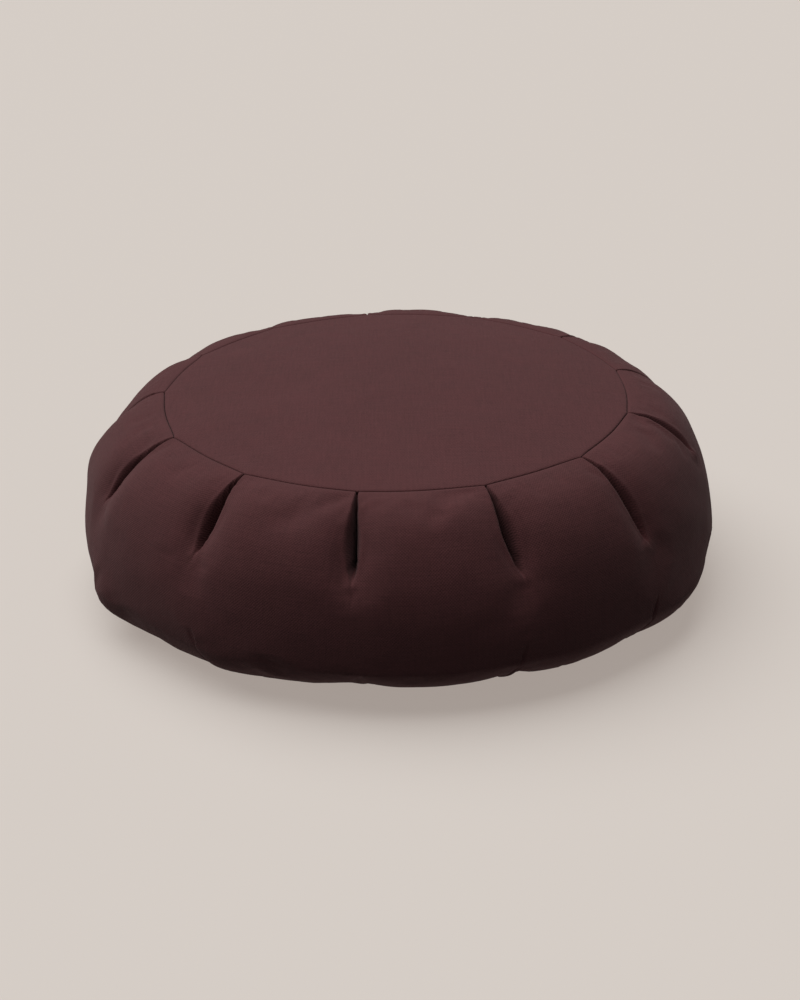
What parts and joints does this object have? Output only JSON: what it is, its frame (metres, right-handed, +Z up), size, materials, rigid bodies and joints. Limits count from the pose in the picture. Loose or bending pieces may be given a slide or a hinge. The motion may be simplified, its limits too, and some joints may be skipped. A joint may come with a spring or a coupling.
{
  "type": "meditation cushion",
  "caption": "Low round floor cushion with a crowned top panel, a full side band pleated onto it, and a flat round base panel.",
  "frame": {"origin": "on the floor, at the middle of the base panel's underside", "axes": "+Z up out of the top panel, -Y towards the front of the picture, +X to its right"},
  "size_m": [0.3574, 0.3595, 0.115],
  "materials": {
    "band_cloth": "matte woven cotton",
    "panel_cloth": "matte woven cotton"
  },
  "bodies": {
    "root": {"pleated_body": "band_cloth", "top_panel": "panel_cloth", "base_panel": "panel_cloth"}
  },
  "joints": []
}
